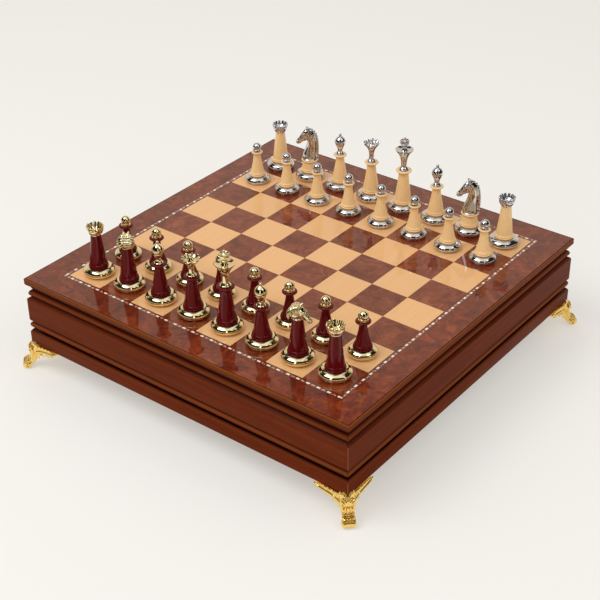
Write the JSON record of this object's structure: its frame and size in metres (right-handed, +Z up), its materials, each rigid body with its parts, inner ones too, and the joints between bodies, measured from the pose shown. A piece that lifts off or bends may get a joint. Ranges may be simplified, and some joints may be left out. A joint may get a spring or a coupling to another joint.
{
  "type": "chess box with drawers",
  "caption": "Inlaid chess board on a moulded mahogany case, with a drawer for each player, cast corner feet and a full set of weighted chessmen.",
  "frame": {"origin": "on the floor, under the middle of the board", "axes": "+Z up; -Y is the front, where the drawer of the red player opens; +X is to the right of that player"},
  "size_m": [0.4566, 0.4566, 0.2045],
  "materials": {
    "mahogany": "mahogany, red-brown stain, satin lacquer",
    "stained_edge": "lighter stained hardwood, satin lacquer",
    "burl_veneer": "red-brown burl veneer under high-gloss lacquer",
    "shell_mosaic": "stringing of wood with pieces of white shell, high-gloss lacquer",
    "light_veneer": "pale plain veneer under high-gloss lacquer",
    "dark_veneer": "dark burl veneer under high-gloss lacquer",
    "plywood": "birch plywood, bare",
    "drawer_wood": "beech, clear satin lacquer",
    "velvet": "deep red flocked velvet",
    "gilt_brass": "cast brass, bright gilt",
    "screw_steel": "brass wood screws",
    "red_lacquered_wood": "turned wood, burgundy gloss lacquer, with gilt metal base and head",
    "boxwood": "turned boxwood, satin, with chrome-plated metal base and head"
  },
  "bodies": {
    "case": {"board_core": "plywood", "board_moulded_edge": "stained_edge", "burl_border": "burl_veneer", "mosaic_stringing": "shell_mosaic", "light_squares": "light_veneer", "dark_squares": "dark_veneer", "board_dowels": "plywood", "case_side_left": "mahogany", "case_side_right": "mahogany", "case_divider": "mahogany", "case_floor": "plywood", "plinth_frame": "mahogany", "corner_blocks": "mahogany", "foot_screws": "screw_steel", "foot_front_left": "gilt_brass", "foot_front_right": "gilt_brass", "foot_rear_left": "gilt_brass", "foot_rear_right": "gilt_brass"},
    "front_drawer": {"front_drawer_face": "mahogany", "front_drawer_sides": "drawer_wood", "front_drawer_back": "drawer_wood", "front_drawer_bottom": "plywood", "front_drawer_liner": "velvet"},
    "rear_drawer": {"rear_drawer_face": "mahogany", "rear_drawer_sides": "drawer_wood", "rear_drawer_back": "drawer_wood", "rear_drawer_bottom": "plywood", "rear_drawer_liner": "velvet"},
    "red_rook_a": {"red_rook_a": "red_lacquered_wood"},
    "red_knight_b": {"red_knight_b": "red_lacquered_wood"},
    "red_bishop_c": {"red_bishop_c": "red_lacquered_wood"},
    "red_queen_d": {"red_queen_d": "red_lacquered_wood"},
    "red_king_e": {"red_king_e": "red_lacquered_wood"},
    "red_bishop_f": {"red_bishop_f": "red_lacquered_wood"},
    "red_knight_g": {"red_knight_g": "red_lacquered_wood"},
    "red_rook_h": {"red_rook_h": "red_lacquered_wood"},
    "silver_rook_a": {"silver_rook_a": "boxwood"},
    "silver_knight_b": {"silver_knight_b": "boxwood"},
    "silver_bishop_c": {"silver_bishop_c": "boxwood"},
    "silver_queen_d": {"silver_queen_d": "boxwood"},
    "silver_king_e": {"silver_king_e": "boxwood"},
    "silver_bishop_f": {"silver_bishop_f": "boxwood"},
    "silver_knight_g": {"silver_knight_g": "boxwood"},
    "silver_rook_h": {"silver_rook_h": "boxwood"},
    "red_pawn_a": {"red_pawn_a": "red_lacquered_wood"},
    "red_pawn_b": {"red_pawn_b": "red_lacquered_wood"},
    "red_pawn_c": {"red_pawn_c": "red_lacquered_wood"},
    "red_pawn_d": {"red_pawn_d": "red_lacquered_wood"},
    "red_pawn_e": {"red_pawn_e": "red_lacquered_wood"},
    "red_pawn_f": {"red_pawn_f": "red_lacquered_wood"},
    "red_pawn_g": {"red_pawn_g": "red_lacquered_wood"},
    "red_pawn_h": {"red_pawn_h": "red_lacquered_wood"},
    "silver_pawn_a": {"silver_pawn_a": "boxwood"},
    "silver_pawn_b": {"silver_pawn_b": "boxwood"},
    "silver_pawn_c": {"silver_pawn_c": "boxwood"},
    "silver_pawn_d": {"silver_pawn_d": "boxwood"},
    "silver_pawn_e": {"silver_pawn_e": "boxwood"},
    "silver_pawn_f": {"silver_pawn_f": "boxwood"},
    "silver_pawn_g": {"silver_pawn_g": "boxwood"},
    "silver_pawn_h": {"silver_pawn_h": "boxwood"}
  },
  "joints": [
    {"name": "front_drawer_slide", "type": "slide", "parent": "case", "child": "front_drawer", "axis": [0, -1, 0], "range_m": [0, 0.15]},
    {"name": "rear_drawer_slide", "type": "slide", "parent": "case", "child": "rear_drawer", "axis": [0, 1, 0], "range_m": [0, 0.15]},
    {"name": "lift_red_rook_a", "type": "slide", "parent": "case", "child": "red_rook_a", "axis": [0, 0, 1], "range_m": [0, 0.1]},
    {"name": "lift_red_knight_b", "type": "slide", "parent": "case", "child": "red_knight_b", "axis": [0, 0, 1], "range_m": [0, 0.1]},
    {"name": "lift_red_bishop_c", "type": "slide", "parent": "case", "child": "red_bishop_c", "axis": [0, 0, 1], "range_m": [0, 0.1]},
    {"name": "lift_red_queen_d", "type": "slide", "parent": "case", "child": "red_queen_d", "axis": [0, 0, 1], "range_m": [0, 0.1]},
    {"name": "lift_red_king_e", "type": "slide", "parent": "case", "child": "red_king_e", "axis": [0, 0, 1], "range_m": [0, 0.1]},
    {"name": "lift_red_bishop_f", "type": "slide", "parent": "case", "child": "red_bishop_f", "axis": [0, 0, 1], "range_m": [0, 0.1]},
    {"name": "lift_red_knight_g", "type": "slide", "parent": "case", "child": "red_knight_g", "axis": [0, 0, 1], "range_m": [0, 0.1]},
    {"name": "lift_red_rook_h", "type": "slide", "parent": "case", "child": "red_rook_h", "axis": [0, 0, 1], "range_m": [0, 0.1]},
    {"name": "lift_silver_rook_a", "type": "slide", "parent": "case", "child": "silver_rook_a", "axis": [0, 0, 1], "range_m": [0, 0.1]},
    {"name": "lift_silver_knight_b", "type": "slide", "parent": "case", "child": "silver_knight_b", "axis": [0, 0, 1], "range_m": [0, 0.1]},
    {"name": "lift_silver_bishop_c", "type": "slide", "parent": "case", "child": "silver_bishop_c", "axis": [0, 0, 1], "range_m": [0, 0.1]},
    {"name": "lift_silver_queen_d", "type": "slide", "parent": "case", "child": "silver_queen_d", "axis": [0, 0, 1], "range_m": [0, 0.1]},
    {"name": "lift_silver_king_e", "type": "slide", "parent": "case", "child": "silver_king_e", "axis": [0, 0, 1], "range_m": [0, 0.1]},
    {"name": "lift_silver_bishop_f", "type": "slide", "parent": "case", "child": "silver_bishop_f", "axis": [0, 0, 1], "range_m": [0, 0.1]},
    {"name": "lift_silver_knight_g", "type": "slide", "parent": "case", "child": "silver_knight_g", "axis": [0, 0, 1], "range_m": [0, 0.1]},
    {"name": "lift_silver_rook_h", "type": "slide", "parent": "case", "child": "silver_rook_h", "axis": [0, 0, 1], "range_m": [0, 0.1]},
    {"name": "lift_red_pawn_a", "type": "slide", "parent": "case", "child": "red_pawn_a", "axis": [0, 0, 1], "range_m": [0, 0.1]},
    {"name": "lift_red_pawn_b", "type": "slide", "parent": "case", "child": "red_pawn_b", "axis": [0, 0, 1], "range_m": [0, 0.1]},
    {"name": "lift_red_pawn_c", "type": "slide", "parent": "case", "child": "red_pawn_c", "axis": [0, 0, 1], "range_m": [0, 0.1]},
    {"name": "lift_red_pawn_d", "type": "slide", "parent": "case", "child": "red_pawn_d", "axis": [0, 0, 1], "range_m": [0, 0.1]},
    {"name": "lift_red_pawn_e", "type": "slide", "parent": "case", "child": "red_pawn_e", "axis": [0, 0, 1], "range_m": [0, 0.1]},
    {"name": "lift_red_pawn_f", "type": "slide", "parent": "case", "child": "red_pawn_f", "axis": [0, 0, 1], "range_m": [0, 0.1]},
    {"name": "lift_red_pawn_g", "type": "slide", "parent": "case", "child": "red_pawn_g", "axis": [0, 0, 1], "range_m": [0, 0.1]},
    {"name": "lift_red_pawn_h", "type": "slide", "parent": "case", "child": "red_pawn_h", "axis": [0, 0, 1], "range_m": [0, 0.1]},
    {"name": "lift_silver_pawn_a", "type": "slide", "parent": "case", "child": "silver_pawn_a", "axis": [0, 0, 1], "range_m": [0, 0.1]},
    {"name": "lift_silver_pawn_b", "type": "slide", "parent": "case", "child": "silver_pawn_b", "axis": [0, 0, 1], "range_m": [0, 0.1]},
    {"name": "lift_silver_pawn_c", "type": "slide", "parent": "case", "child": "silver_pawn_c", "axis": [0, 0, 1], "range_m": [0, 0.1]},
    {"name": "lift_silver_pawn_d", "type": "slide", "parent": "case", "child": "silver_pawn_d", "axis": [0, 0, 1], "range_m": [0, 0.1]},
    {"name": "lift_silver_pawn_e", "type": "slide", "parent": "case", "child": "silver_pawn_e", "axis": [0, 0, 1], "range_m": [0, 0.1]},
    {"name": "lift_silver_pawn_f", "type": "slide", "parent": "case", "child": "silver_pawn_f", "axis": [0, 0, 1], "range_m": [0, 0.1]},
    {"name": "lift_silver_pawn_g", "type": "slide", "parent": "case", "child": "silver_pawn_g", "axis": [0, 0, 1], "range_m": [0, 0.1]},
    {"name": "lift_silver_pawn_h", "type": "slide", "parent": "case", "child": "silver_pawn_h", "axis": [0, 0, 1], "range_m": [0, 0.1]}
  ]
}
